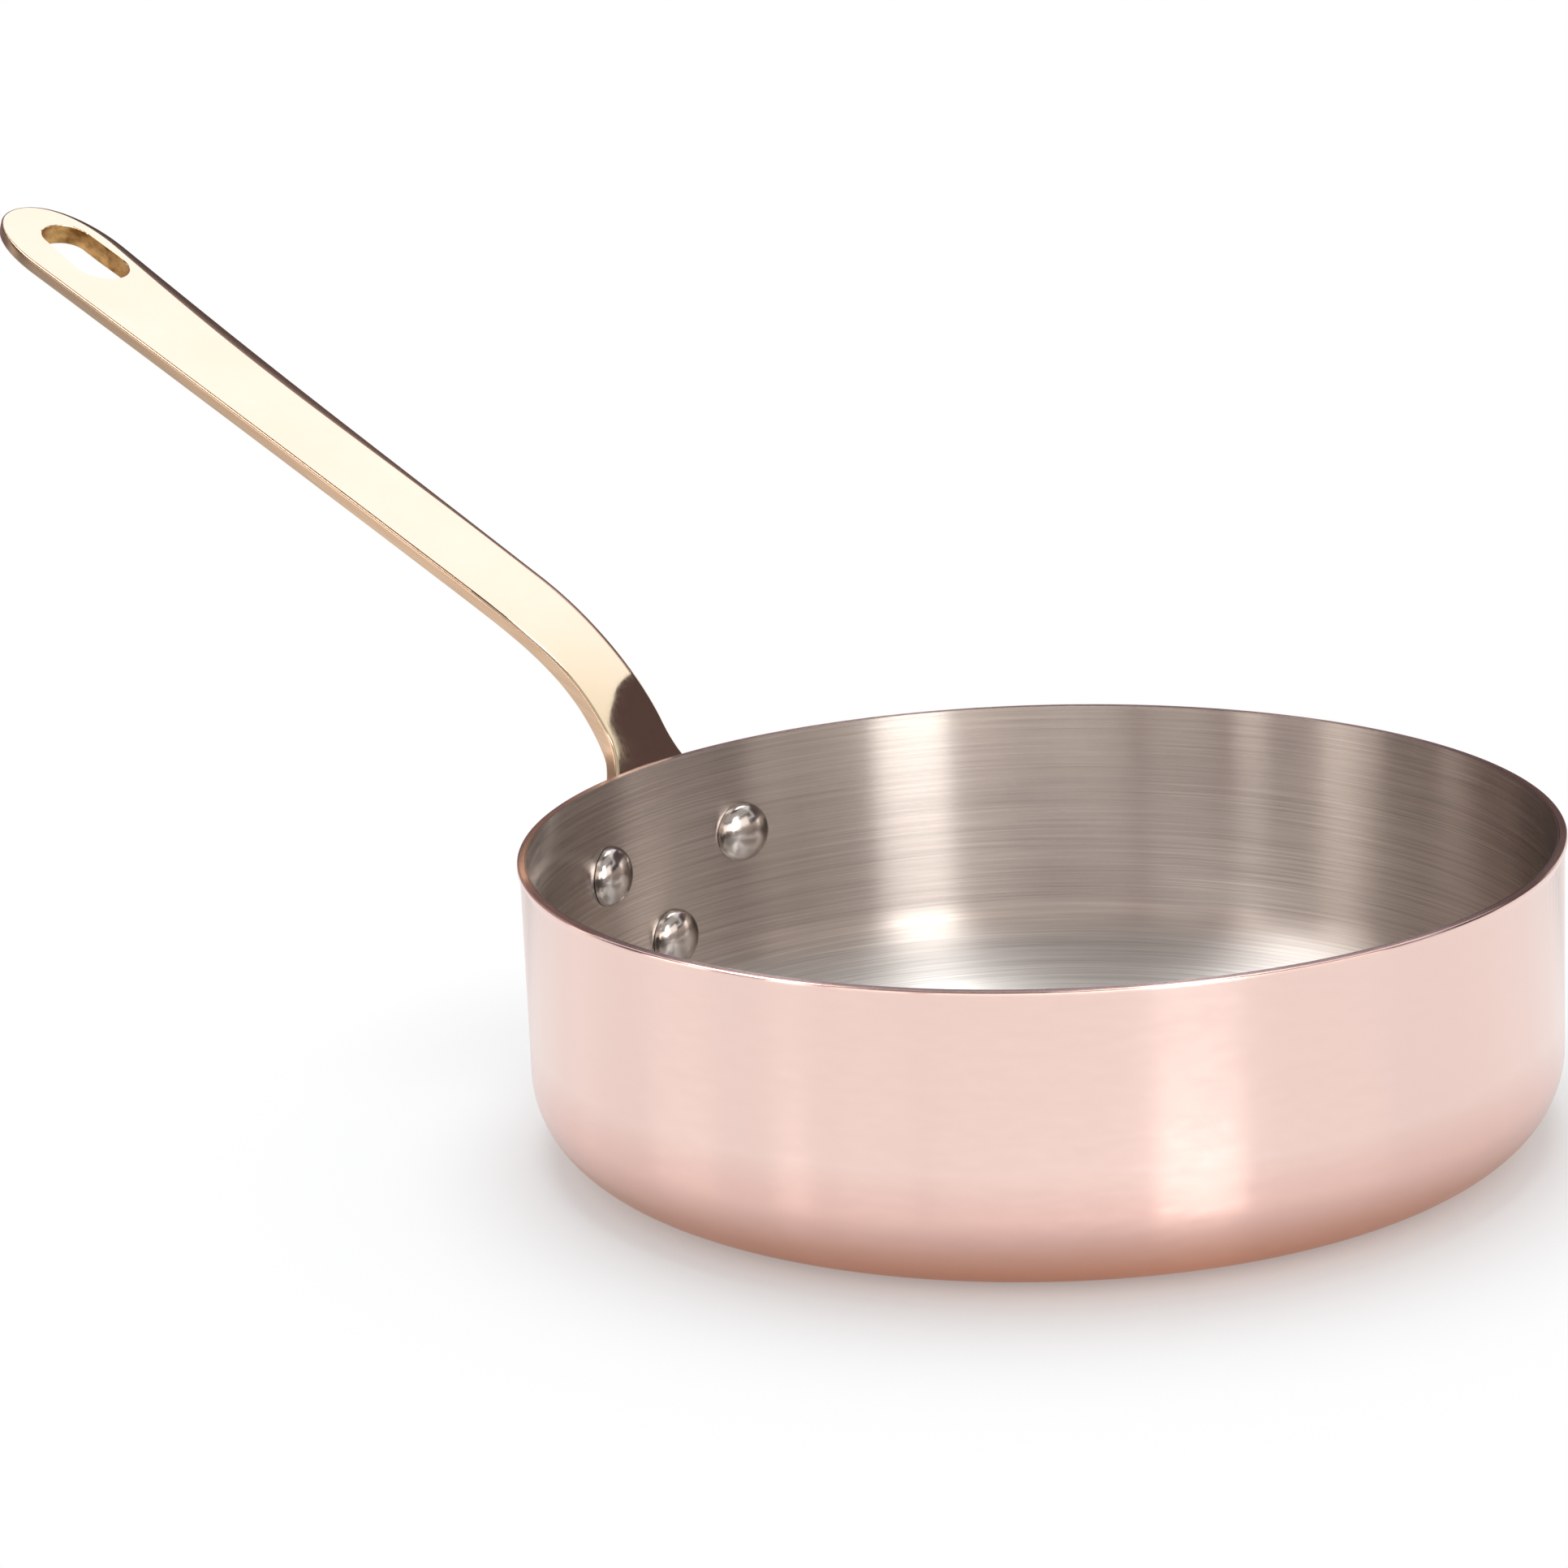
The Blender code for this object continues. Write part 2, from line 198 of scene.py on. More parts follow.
def round_grain(finish, across, along):
    """A place on a turned piece, squeezed so that a pattern read there runs round the pan as fine lines."""
    split = step(finish, "ShaderNodeSeparateXYZ", own_place(finish)).outputs
    flat = step(finish, "ShaderNodeCombineXYZ", split["X"], split["Y"], 0).outputs[0]
    around = reckon_place(finish, "SCALE", reckon_place(finish, "NORMALIZE", flat), Scale=along)
    depth = reckon(finish, "ADD", split["Z"], reckon_place(finish, "LENGTH", flat))
    lines = reckon(finish, "MULTIPLY", depth, across)
    lift = step(finish, "ShaderNodeCombineXYZ", 0, 0, lines).outputs[0]
    return reckon_place(finish, "ADD", around, lift)


copper_side = (
    [(0, copper_thickness)]
    + dish_side(wall_radius - copper_thickness, copper_thickness, base_corner - copper_thickness)[::-1]
    + [(wall_radius - copper_thickness, pan_height)]
    + arc((rim_radius - lip_rounding, pan_height - lip_rounding), lip_rounding, math.pi / 2, 0, lip_steps)
    + [(rim_radius, pan_height - lip_height / 2), (wall_radius, pan_height - lip_height)]
    + dish_side(wall_radius, 0, base_corner)
    + [(0, 0)]
)
copper_shell = turned_piece("polished_copper_shell", copper_side)

copper, copper_shine = new_finish("polished_copper", (0.87, 0.6, 0.54), 0.2)
brush_round(copper, copper_shine)
haze = pattern(copper, None, scale=34, detail=4, roughness=0.6)
haze_tone = tones(copper, haze, (0.3, (0.865, 0.64, 0.58)), (0.7, (0.885, 0.66, 0.6)))
# Painted reflection and shade: below this height the copper's colour is darkened and turned orange-brown.
painted_reflection_share = reckon(copper, "DIVIDE", own_reach(copper, "Z"), painted_reflection_height)
painted_reflection_tint = tones(
    copper,
    painted_reflection_share,
    (0.05, (0.86, 0.56, 0.38)),
    (0.3, (0.85, 0.69, 0.6)),
    (0.5, (0.855, 0.74, 0.715)),
    (0.75, (0.925, 0.85, 0.84)),
    (1, (1, 1, 1)),
)
copper_colour_with_painted_reflection = blend(copper, 1, haze_tone, painted_reflection_tint, blend_type="MULTIPLY")
feed(copper, copper_shine.inputs["Base Color"], copper_colour_with_painted_reflection)
feed(copper, copper_shine.inputs["Roughness"], rescale(copper, haze, 0.3, 0.7, 0.19, 0.215))
polish_lines = pattern(copper, round_grain(copper, across=2600, along=9), scale=1, detail=3)
copper_relief = relief(copper, polish_lines, strength=0.02, depth=0.01 * mm)
feed(copper, copper_shine.inputs["Normal"], copper_relief)
copper_shell.data.materials.append(copper)
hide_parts("copper_shell")
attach(copper_shell, "root")

# Steel lining
# The cooking side: a thin layer of stainless steel bonded to the copper. It is brushed round the pan, so the
# light lies on it in upright bands, and fine lines run round the wall and in rings over the floor. Its floor
# is painted much lighter than its wall, a painted reflection of the soft boxes overhead.

bond_gap = 0.1 * mm
lining_thickness = 0.3 * mm
lining_radius = wall_radius - copper_thickness - bond_gap
lining_underside = copper_thickness + bond_gap
lining_corner = base_corner - copper_thickness - bond_gap
inner_radius = lining_radius - lining_thickness
inner_floor = lining_underside + lining_thickness
inner_corner = lining_corner - lining_thickness
rough_floor_top = 3 * mm
smooth_wall_foot = 22 * mm
painted_light_floor_top = 1.8 * mm
painted_light_wall_foot = 14 * mm
line_slope = 0.16

lining_side = (
    [(0, inner_floor)]
    + dish_side(inner_radius, inner_floor, inner_corner)[::-1]
    + [(inner_radius, pan_height), (lining_radius, pan_height)]
    + dish_side(lining_radius, lining_underside, lining_corner)
    + [(0, lining_underside)]
)
steel_lining = turned_piece("brushed_steel_lining", lining_side)

steel, steel_shine = new_finish("brushed_steel", (0.56, 0.5, 0.48), 0.2)
brush_way = brush_round(steel, steel_shine)
fine_grain = round_grain(steel, across=3000, along=3)
broad_grain = round_grain(steel, across=1400, along=2)
brush_lines = pattern(steel, fine_grain, scale=1, detail=3, roughness=0.6)
broad_lines = pattern(steel, broad_grain, scale=1, detail=2)
height = own_reach(steel, "Z")
brush_roughness = rescale(
    steel, height, rough_floor_top, smooth_wall_foot, 0.55, 0.27, interpolation_type="SMOOTHSTEP"
)
feed(steel, steel_shine.inputs["Roughness"], brush_roughness)
brush_share = reckon(steel, "MULTIPLY", reckon(steel, "ADD", brush_lines, broad_lines), 0.5)
wall_tone = tones(steel, brush_share, (0.35, (0.46, 0.418, 0.388)), (0.65, (0.65, 0.588, 0.547)))
# Painted reflection: the floor and the foot of the wall get a lighter colour than the wall, for the bright
# light overhead that the brushed floor mirrors.
painted_floor_light_tone = tones(steel, brush_share, (0.38, (0.75, 0.74, 0.73)), (0.62, (0.98, 0.97, 0.96)))
painted_floor_light_share = rescale(steel, height, painted_light_floor_top, painted_light_wall_foot, 1, 0)
feed(steel, steel_shine.inputs["Base Color"], blend(steel, painted_floor_light_share, wall_tone, painted_floor_light_tone))
smooth_normal = step(steel, "ShaderNodeNewGeometry").outputs["Normal"]
across_brush = reckon_place(steel, "CROSS_PRODUCT", smooth_normal, brush_way)
line_tilt = reckon(steel, "MULTIPLY", reckon(steel, "SUBTRACT", brush_lines, 0.5), line_slope)
tilt = reckon_place(steel, "SCALE", across_brush, Scale=line_tilt)
brushed_normal = reckon_place(steel, "NORMALIZE", reckon_place(steel, "ADD", smooth_normal, tilt))
feed(steel, steel_shine.inputs["Normal"], brushed_normal)
steel_lining.data.materials.append(steel)
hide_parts("steel_lining")
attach(steel_lining, "root")

# Brass handle
# One casting in brass. A three-lobed flange is curved round the wall, narrows to a neck, bends outwards and
# runs straight to a rounded tip. Its face is polished, its edges are only ground, and its eye is left rough.

# Flange, neck and bar
seat_gap = 0.25 * mm
seat_radius = wall_radius + seat_gap
lobe_radius = 9.5 * mm
waist_radius = 30 * mm
lower_rivet_height = 24.5 * mm
lower_rivet_drop = 22.2 * mm
rivet_row_height = lower_rivet_height + lower_rivet_drop
rivet_spread = 48.8 * mm
foot_height = lower_rivet_height - lobe_radius
shoulder_angle = math.pi / 2 - math.radians(30)
fillet_radius = 21 * mm
neck_width = 19.6 * mm
neck_length = 9 * mm
root_width = 24 * mm
middle_width = 27.1 * mm
end_width = 31.8 * mm
tip_length = 27 * mm
tip_fullness = 2.1

# The line that the middle of the face follows
handle_slope = math.radians(24.8)
slope = Vector((math.cos(handle_slope), 0, math.sin(handle_slope)))
bend_start = Vector((seat_radius, 0, 50 * mm))
bend_end = bend_start + Vector((50.8 * mm, 0, 59.2 * mm))
pull_up = Vector((0, 0, 35.6 * mm))
pull_back = slope * 23.5 * mm
straight_length = 198.2 * mm
bend_line_points = 160

# Thickness of the edges and the back, and the face's low crown at the neck
flange_edge = 3.2 * mm
neck_edge = 4.4 * mm
bar_edge = 3.2 * mm
foot_rib = 0.4 * mm
shoulder_rib = 4.2 * mm
rib_reach = 11 * mm
back_crown = 3.4 * mm
edge_rounding = 0.7 * mm
neck_crown = 0.45 * mm
crown_run_out = 25 * mm

# Bands that are ground down along the face's edges. The far one is widest a little past mid-bar.
far_band = 1.3 * mm
far_swell = 3.4 * mm
swell_middle = 235 * mm
swell_reach = 72 * mm
near_band = 0.5 * mm
band_run_in = 20 * mm
far_slope = 0.09
far_curve = 0.12
near_slope = 0.25
thinnest_band = 0.1 * mm

# Columns of points across the face
near_columns = 2
border_columns = 2
flat_columns = 15
band_columns = 8
near_border = 0.3 * mm
far_border = 0.15 * mm
least_near = 0.03
least_flat = 0.2
least_band = 0.1


def ease(value, low, high):
    """The share of the way from low to high, with a soft start and a soft end."""
    share = min(max((value - low) / (high - low), 0), 1)
    return share * share * (3 - 2 * share)


def mix(first, second, share):
    """The number that lies at a share of the way from the first to the second."""
    return first + (second - first) * share


bend_points = interpolate_bezier(
    bend_start, bend_start + pull_up, bend_end - pull_back, bend_end, bend_line_points
)
face_line = [Vector((seat_radius, 0, foot_height))] + bend_points + [bend_end + slope * straight_length]
face_distances = [0]
for first, second in zip(face_line, face_line[1:]):
    face_distances.append(face_distances[-1] + (second - first).length)
bend_done = face_distances[-2]
tip_end = face_distances[-1]
tip_start = tip_end - tip_length


def face_point(distance):
    """A place on the face's middle line, at a distance from the flange's foot."""
    distance = min(max(distance, 0), tip_end)
    i = min(bisect(face_distances, distance), len(face_line) - 1)
    span = face_distances[i] - face_distances[i - 1]
    return face_line[i - 1].lerp(face_line[i], (distance - face_distances[i - 1]) / span)


upper_lobe = (rivet_spread / 2, lobe_radius + lower_rivet_drop)
shoulder = upper_lobe[1] + lobe_radius * math.sin(shoulder_angle)
fillet_across = neck_width / 2 + fillet_radius
fillet_reach = lobe_radius + fillet_radius
fillet_overhang = upper_lobe[0] + fillet_reach * math.cos(shoulder_angle) - fillet_across
fillet_slide = fillet_overhang / math.sin(shoulder_angle)
neck = upper_lobe[1] + fillet_reach * math.sin(shoulder_angle) + fillet_slide * math.cos(shoulder_angle)


def tip_share(distance):
    """The share of its width that the bar keeps, which runs out to nothing round the tip."""
    into_tip = min(max(distance - tip_start, 0) / tip_length, 1)
    return (1 - into_tip**tip_fullness) ** (1 / tip_fullness)


def half_width(distance):
    """Half the width of the neck and the bar."""
    widened = ease(distance, neck + neck_length, bend_done)
    along = max(distance - bend_done, 0) / (tip_start - bend_done)
    bow = 4 * (middle_width - (root_width + end_width) / 2) * along * (1 - along)
    return mix(neck_width, mix(root_width, end_width, along) + bow, widened) / 2 * tip_share(distance)


def edge_thickness(distance):
    """The edge is thickest at the neck, where the handle carries the most."""
    up_to_neck = mix(flange_edge, neck_edge, ease(distance, shoulder, neck))
    return mix(up_to_neck, bar_edge, ease(distance, neck, bend_done))


def handle_thickness(across, distance):
    """A soft rib runs up the back of the flange and turns into the bar's crowned back."""
    along_rib = mix(foot_rib, shoulder_rib, ease(distance, lobe_radius, shoulder))
    on_bar = ease(distance, shoulder, neck)
    rib = math.exp(-((across / rib_reach) ** 2))
    back = max(1 - (across / max(half_width(distance), mm)) ** 2, 0) * tip_share(distance)
    return edge_thickness(distance) + mix(along_rib, back_crown, on_bar) * mix(rib, back, on_bar)


def ground_bands(distance):
    """Widths of the bands that are ground down along the far and the near edge of the face."""
    on_bar = ease(distance, neck, neck + band_run_in) * tip_share(distance)
    far = far_band + far_swell * math.exp(-(((distance - swell_middle) / swell_reach) ** 2))
    return far * on_bar, near_band * on_bar


def face_depth(across, distance):
    """The face is flat on the bar, ground down along both edges, and crowned a little at the neck."""
    far, near = ground_bands(distance)
    if distance < neck:
        ground = 0
    elif across < 0:
        into_band = max(-across - (half_width(distance) - far), 0)
        ground = far_slope * into_band + far_curve * into_band**2 / max(far, thinnest_band)
    else:
        ground = near_slope * max(across - (half_width(distance) - near), 0)
    crown = ease(distance, shoulder, neck) * (1 - ease(distance, neck + crown_run_out, bend_done))
    return ground + crown * neck_crown * (across / half_width(max(distance, neck))) ** 2


def face_spots(inner, distance):
    """Places across the face, from its near to its far edge, and close together where it is ground down.

    Where the bands run out, their columns and the flat ones keep a least share of half the width."""
    far, near = ground_bands(distance)
    near_width = max(near, least_near * inner)
    band_width = max(far - edge_rounding, least_band * inner)
    near_part = [near_width / near_columns] * near_columns + [near_border] * border_columns
    far_part = [far_border] * border_columns + [band_width / band_columns] * band_columns
    flat_width = max(2 * inner - sum(near_part) - sum(far_part), least_flat * inner)
    columns = near_part + [flat_width / flat_columns] * flat_columns + far_part
    spots = [inner]
    for column in columns:
        spots.append(spots[-1] - column * 2 * inner / sum(columns))
    return spots


def bent_place(across, distance, depth):
    """Bends a place at a depth below the face onto the face line and, on the flange, round the wall."""
    along = (face_point(distance + mm) - face_point(distance - mm)).normalized()
    away = Vector((along.z, 0, -along.x))
    centre = face_point(distance)
    flat = ease(distance, shoulder, neck + neck_length)
    if flat == 1:
        return centre + Vector((0, across, 0)) + away * depth
    radius = seat_radius / (1 - flat)
    turn = across / radius
    normal = away * math.cos(turn) + Vector((0, math.sin(turn), 0))
    return centre - away * radius + normal * (radius + depth)


def join_rings(build, ring, following):
    """Closes the gap between two rings of points with a belt of panels."""
    return [
        build.faces.new((ring[i - 1], ring[i], following[i], following[i - 1])) for i in range(len(ring))
    ]


foot_steps = 16
waist_steps = 12
lobe_steps = 20
fillet_steps = 16
neck_steps = 48
bar_steps = 40
tip_steps = 36

lower_lobe = (0, lobe_radius)
rise = upper_lobe[1] - lower_lobe[1]
run = upper_lobe[0]
waist_reach = lobe_radius + waist_radius
opening = math.acos(math.hypot(rise, run) / 2 / waist_reach)
leave = math.atan2(rise, run) - opening
arrive = math.atan2(rise, run) + opening - math.pi
waist = (waist_reach * math.cos(leave), lobe_radius + waist_reach * math.sin(leave))
outline = arc(lower_lobe, lobe_radius, -math.pi / 2, leave, foot_steps)
outline += arc(waist, waist_radius, leave + math.pi, arrive + math.pi, waist_steps)[1:-1]
outline += arc(upper_lobe, lobe_radius, arrive, shoulder_angle, lobe_steps)
outline += arc((fillet_across, neck), fillet_radius, math.pi + shoulder_angle, math.pi, fillet_steps)
places = [mix(neck, bend_done, i / neck_steps) for i in range(1, neck_steps + 1)]
places += [mix(bend_done, tip_start, i / bar_steps) for i in range(1, bar_steps + 1)]
tip_turns = [math.sin(math.pi / 2 * i / tip_steps) for i in range(1, tip_steps + 1)]
places += [tip_start + tip_length * turn ** (2 / tip_fullness) for turn in tip_turns]
outline += [(half_width(place), place) for place in places]

corner_turns = 5
turns = [math.pi / 2 * i / corner_turns for i in range(1, corner_turns + 1)]


def rounded_edge(face, back):
    """An edge with two rounded corners, as steps outwards and depths, from the face to the back."""
    upper = [(edge_rounding * math.sin(turn), face + edge_rounding * (1 - math.cos(turn))) for turn in turns]
    lower = [(edge_rounding * math.sin(turn), back - edge_rounding * (1 - math.cos(turn))) for turn in turns]
    return upper + lower[::-1]


build = bmesh.new()
rings = []
ends = [(-outline[1][0], outline[1][1])] + outline + [(-outline[-2][0], outline[-2][1])]
for before, edge, after in zip(ends, outline, ends[2:]):
    across, along = after[0] - before[0], after[1] - before[1]
    inwards = (-along / math.hypot(across, along), across / math.hypot(across, along))
    inner = (edge[0] + inwards[0] * edge_rounding, edge[1] + inwards[1] * edge_rounding)
    spots = face_spots(inner[0], inner[1])
    back = handle_thickness(inner[0], inner[1])
    far_edge = rounded_edge(face_depth(-inner[0], inner[1]), back)
    near_edge = rounded_edge(face_depth(inner[0], inner[1]), back)[::-1]
    ring = [(spot, inner[1], face_depth(spot, inner[1])) for spot in spots]
    ring += [(-(inner[0] - inwards[0] * out), inner[1] - inwards[1] * out, depth) for out, depth in far_edge]
    ring += [(spot, inner[1], handle_thickness(spot, inner[1])) for spot in spots[::-1]]
    ring += [(inner[0] - inwards[0] * out, inner[1] - inwards[1] * out, depth) for out, depth in near_edge]
    rings.append([build.verts.new(bent_place(*spot)) for spot in ring])

# The polish takes in the face and a part of both roundings. Past the neck it ends at the far ground band.
polished_skin, ground_skin, rough_skin = range(3)
far_polished_turns = 3
near_polished_turns = 2
satin_start = neck + 14 * mm
face_points = near_columns + 2 * border_columns + flat_columns + band_columns + 1
for edge, ring, following in zip(outline, rings, rings[1:]):
    along = edge[1]
    far_end = face_points - band_columns if along > satin_start else face_points + far_polished_turns
    near_start = len(ring) - near_polished_turns if along < bend_done else len(ring)
    for i, panel in enumerate(join_rings(build, ring, following)):
        panel.material_index = polished_skin if i < far_end or i >= near_start else ground_skin
brass_handle = place_mesh("cast_brass_handle", build)

# The eye is cut with a block of its own shape. Its edge rolls over in steps of depth and widening, in mm.
eye_wide = (-2.1 * mm, tip_end - 32.7 * mm)
eye_wide_radius = 7.9 * mm
eye_narrow = (-2.5 * mm, tip_end - 18.2 * mm)
eye_narrow_radius = 7.1 * mm
eye_edge = ((-2, 1.4), (-0.3, 0.35), (0, 0.16), (0.12, 0.05), (0.3, 0), (9, 0))
wide_steps = 48
narrow_steps = 40
largest_edge_panel = mm * mm

heading = math.atan2(eye_narrow[1] - eye_wide[1], eye_narrow[0] - eye_wide[0])
eye_length = math.hypot(eye_narrow[0] - eye_wide[0], eye_narrow[1] - eye_wide[1])
opening = math.acos((eye_wide_radius - eye_narrow_radius) / eye_length)
narrow_start = heading - opening
narrow_end = heading + opening
wide_end = heading + 2 * math.pi - opening
build = bmesh.new()
rings = []
for depth, growth in eye_edge:
    slot = arc(eye_wide, eye_wide_radius + growth * mm, narrow_end, wide_end, wide_steps)
    slot += arc(eye_narrow, eye_narrow_radius + growth * mm, narrow_start, narrow_end, narrow_steps)
    rings.append([build.verts.new(bent_place(across, along, depth * mm)) for across, along in slot])
for ring, following in zip(rings, rings[1:]):
    join_rings(build, ring, following)
build.faces.new(rings[0])
build.faces.new(rings[-1])
eye_cutter = place_mesh("eye_cutter", build)


def lengthwise(finish, along, across):
    """A place on the bar, squeezed so that a pattern read there runs along it as fine streaks."""
    spot = own_place(finish)
    down = Vector((-slope.z, 0, slope.x))
    far_along = reckon_place(finish, "DOT_PRODUCT", spot, slope * along)
    far_down = reckon_place(finish, "DOT_PRODUCT", spot, down * across)
    far_side = reckon(finish, "MULTIPLY", own_reach(finish, "Y"), across)
    return step(finish, "ShaderNodeCombineXYZ", far_along, far_down, far_side).outputs[0]


def cast_skin(name, low, high, roughness, pits, along, across, tip_tone):
    """Brass as it comes from the mould, or after a light grinding: uneven in tone, and darker towards the
    tip.
    """
    tip_darkening_start = 200 * mm
    tip_darkening_end = 340 * mm
    finish, shader = new_finish(name, high, roughness)
    mottle = pattern(finish, lengthwise(finish, along, across), scale=1, detail=5, roughness=0.6)
    tone = tones(finish, mottle, (0.32, low), (0.68, high))
    tip_darkening = rescale(finish, own_reach(finish, "X"), tip_darkening_start, tip_darkening_end, 1, tip_tone)
    shaded = reckon_place(finish, "SCALE", tone, Scale=tip_darkening)
    feed(finish, shader.inputs["Base Color"], shaded)
    feed(finish, shader.inputs["Normal"], relief(finish, mottle, strength=pits, depth=0.2 * mm))
    return finish


polished_brass, brass_shine = new_finish("polished_brass", (0.93, 0.81, 0.58), 0.06)
cloud = pattern(polished_brass, own_place(polished_brass), scale=45, detail=5, roughness=0.6)
cloud_tone = tones(polished_brass, cloud, (0.3, (0.92, 0.79, 0.56)), (0.7, (0.94, 0.82, 0.6)))
wheel_marks = lengthwise(polished_brass, along=30, across=1400)
wheel_lines = pattern(polished_brass, wheel_marks, scale=1, detail=3)
brass_roughness = rescale(polished_brass, wheel_lines, 0.3, 0.7, 0.05, 0.09)
brass_relief = relief(polished_brass, cloud, strength=0.04, depth=0.05 * mm)
feed(polished_brass, brass_shine.inputs["Base Color"], cloud_tone)
feed(polished_brass, brass_shine.inputs["Roughness"], brass_roughness)
feed(polished_brass, brass_shine.inputs["Normal"], brass_relief)

ground_brass = cast_skin(
    "ground_brass_edge", low=(0.6, 0.42, 0.29), high=(0.68, 0.49, 0.34), roughness=0.25,
    pits=0.01, along=60, across=700, tip_tone=0.5,
)
rough_brass = cast_skin(
    "rough_brass_eye", low=(0.2, 0.09, 0.025), high=(0.68, 0.42, 0.17), roughness=0.42,
    pits=0.4, along=150, across=200, tip_tone=1,
)
for finish in (polished_brass, ground_brass, rough_brass):
    brass_handle.data.materials.append(finish)
    eye_cutter.data.materials.append(finish)

# The small panels are those of the eye's rolled edge, which is polished with the face.
for panel in eye_cutter.data.polygons:
    panel.material_index = rough_skin if panel.area > largest_edge_panel else polished_skin

bore = brass_handle.modifiers.new("eye", "BOOLEAN")
bore.operation = "DIFFERENCE"
bore.solver = "EXACT"
bore.object = eye_cutter
bore.material_mode = "INDEX"
cut_mesh = bpy.data.meshes.new_from_object(
    brass_handle.evaluated_get(bpy.context.evaluated_depsgraph_get())
)
brass_handle.modifiers.clear()
brass_handle.data = cut_mesh
bpy.data.objects.remove(eye_cutter)
cut_mesh.set_sharp_from_angle(angle=crisp_angle)
even_shading = brass_handle.modifiers.new("even_shading", "WEIGHTED_NORMAL")
even_shading.keep_sharp = True
even_shading.weight = 80
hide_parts("brass_handle")
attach(brass_handle, "root")

# Rivets
# Three steel rivets go through the lining, the copper and the flange. Each has a polished domed head on the
# cooking side. Its tail is hammered down into a low cap on the back of the flange.

head_radius = 7.5 * mm
head_height = 4.2 * mm
tail_radius = 5.5 * mm
tail_height = 2 * mm
shank_radius = 3.2 * mm
seat_clearance = 0.15 * mm
rivet_turns = 72
head_steps = 16
tail_steps = 10
rivet_angle = rivet_spread / 2 / seat_radius

rivet_steel, rivet_shine = new_finish("polished_rivet_steel", (0.64, 0.6, 0.57), 0.14)
spot = own_place(rivet_steel)
dents = pattern(rivet_steel, spot, scale=260, detail=2)
scuffs = pattern(rivet_steel, spot, scale=1500, detail=4, roughness=0.7)
rivet_relief = relief(rivet_steel, dents, strength=0.14, depth=0.25 * mm)
feed(rivet_steel, rivet_shine.inputs["Roughness"], rescale(rivet_steel, scuffs, 0.35, 0.7, 0.14, 0.24))
feed(rivet_steel, rivet_shine.inputs["Normal"], rivet_relief)


def inner_radius_at(height):
    """How far the lining's inner side is from the axis, at a height on the wall or in the corner."""
    below = min(max(inner_floor + inner_corner - height, 0), inner_corner)
    return inner_radius - inner_corner + math.sqrt(inner_corner**2 - below**2)


# A rivet's side view, from the top of its head to the top of its tail, as radii and steps off its seats.
stack = []
for i in range(head_steps + 1):
    turn = math.pi / 2 * i / head_steps
    stack.append(("head", head_radius * math.sin(turn), -head_height * math.cos(turn)))
stack.append(("head", shank_radius, 0))
stack.append(("tail", shank_radius, 0))
for i in range(tail_steps + 1):
    turn = math.pi / 2 * (1 - i / tail_steps)
    stack.append(("tail", tail_radius * math.sin(turn), tail_height * math.cos(turn)))

for name, height, angle in (
    ("rivet_upper_left", rivet_row_height, rivet_angle),
    ("rivet_upper_right", rivet_row_height, -rivet_angle),
    ("rivet_lower", lower_rivet_height, 0),
):
    build = bmesh.new()
    rings = []
    across = angle * seat_radius
    for side, radius, lift in stack:
        ring = []
        for i in range(rivet_turns):
            y = radius * math.cos(2 * math.pi * i / rivet_turns)
            z = radius * math.sin(2 * math.pi * i / rivet_turns)
            if side == "head":
                x = math.sqrt(inner_radius_at(height + z) ** 2 - y**2) - seat_clearance + lift
            else:
                distance = height - foot_height + z
                back = max(handle_thickness(across + y, distance), handle_thickness(across - y, distance))
                x = math.sqrt((seat_radius + back) ** 2 - y**2) + seat_clearance + lift
            ring.append(build.verts.new(Matrix.Rotation(angle, 3, "Z") @ Vector((x, y, height + z))))
        rings.append(ring)
    for ring, following in zip(rings, rings[1:]):
        join_rings(build, ring, following)
    rivet = place_mesh("domed_" + name, build)
    rivet.data.materials.append(rivet_steel)
    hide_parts(name)
    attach(rivet, "root")

# Table and studio
# The pan stands on a white table that fades into a white background. Round it, out of the camera's sight,
# stand the soft boxes and the dull walls that polished metal shows in its reflections.

table_reach = 6
table_gap = 0.2 * mm
build = bmesh.new()
bmesh.ops.create_grid(build, x_segments=1, y_segments=1, size=table_reach)
table = place_mesh("white_table", build)
table.location.z = -table_gap
white_table = bpy.data.materials.new("white_table")
white_table.use_nodes = True
matt = white_table.node_tree.nodes["Principled BSDF"]
matt.inputs["Base Color"].default_value = (0.82, 0.865, 0.88, 1)
matt.inputs["Roughness"].default_value = 0.7
matt.inputs["Specular IOR Level"].default_value = 0
from_middle = reckon_place(white_table, "LENGTH", own_place(white_table))
rays = step(white_table, "ShaderNodeLightPath").outputs


def glow_share(kind, near, far, least):
    """The table turns into plain white away from the pan, for one kind of ray."""
    fade = rescale(white_table, from_middle, near, far, least, 1)
    return reckon(white_table, "MULTIPLY", fade, rays[kind])


seen = glow_share("Is Camera Ray", 100 * mm, 200 * mm, 0.25)
mirrored = glow_share("Is Glossy Ray", 115 * mm, 175 * mm, 0.2)
through = glow_share("Is Transmission Ray", 100 * mm, 200 * mm, 0.25)
share = reckon(white_table, "ADD", reckon(white_table, "ADD", seen, mirrored), through)
white_glow = step(white_table, "ShaderNodeEmission", (1, 1, 1, 1), 1).outputs[0]
surface = step(white_table, "ShaderNodeMixShader", share, matt.outputs[0], white_glow).outputs[0]
feed(white_table, white_table.node_tree.nodes["Material Output"].inputs["Surface"], surface)
table.data.materials.append(white_table)

card_rows = 4
least_columns = 3
column_span = 5


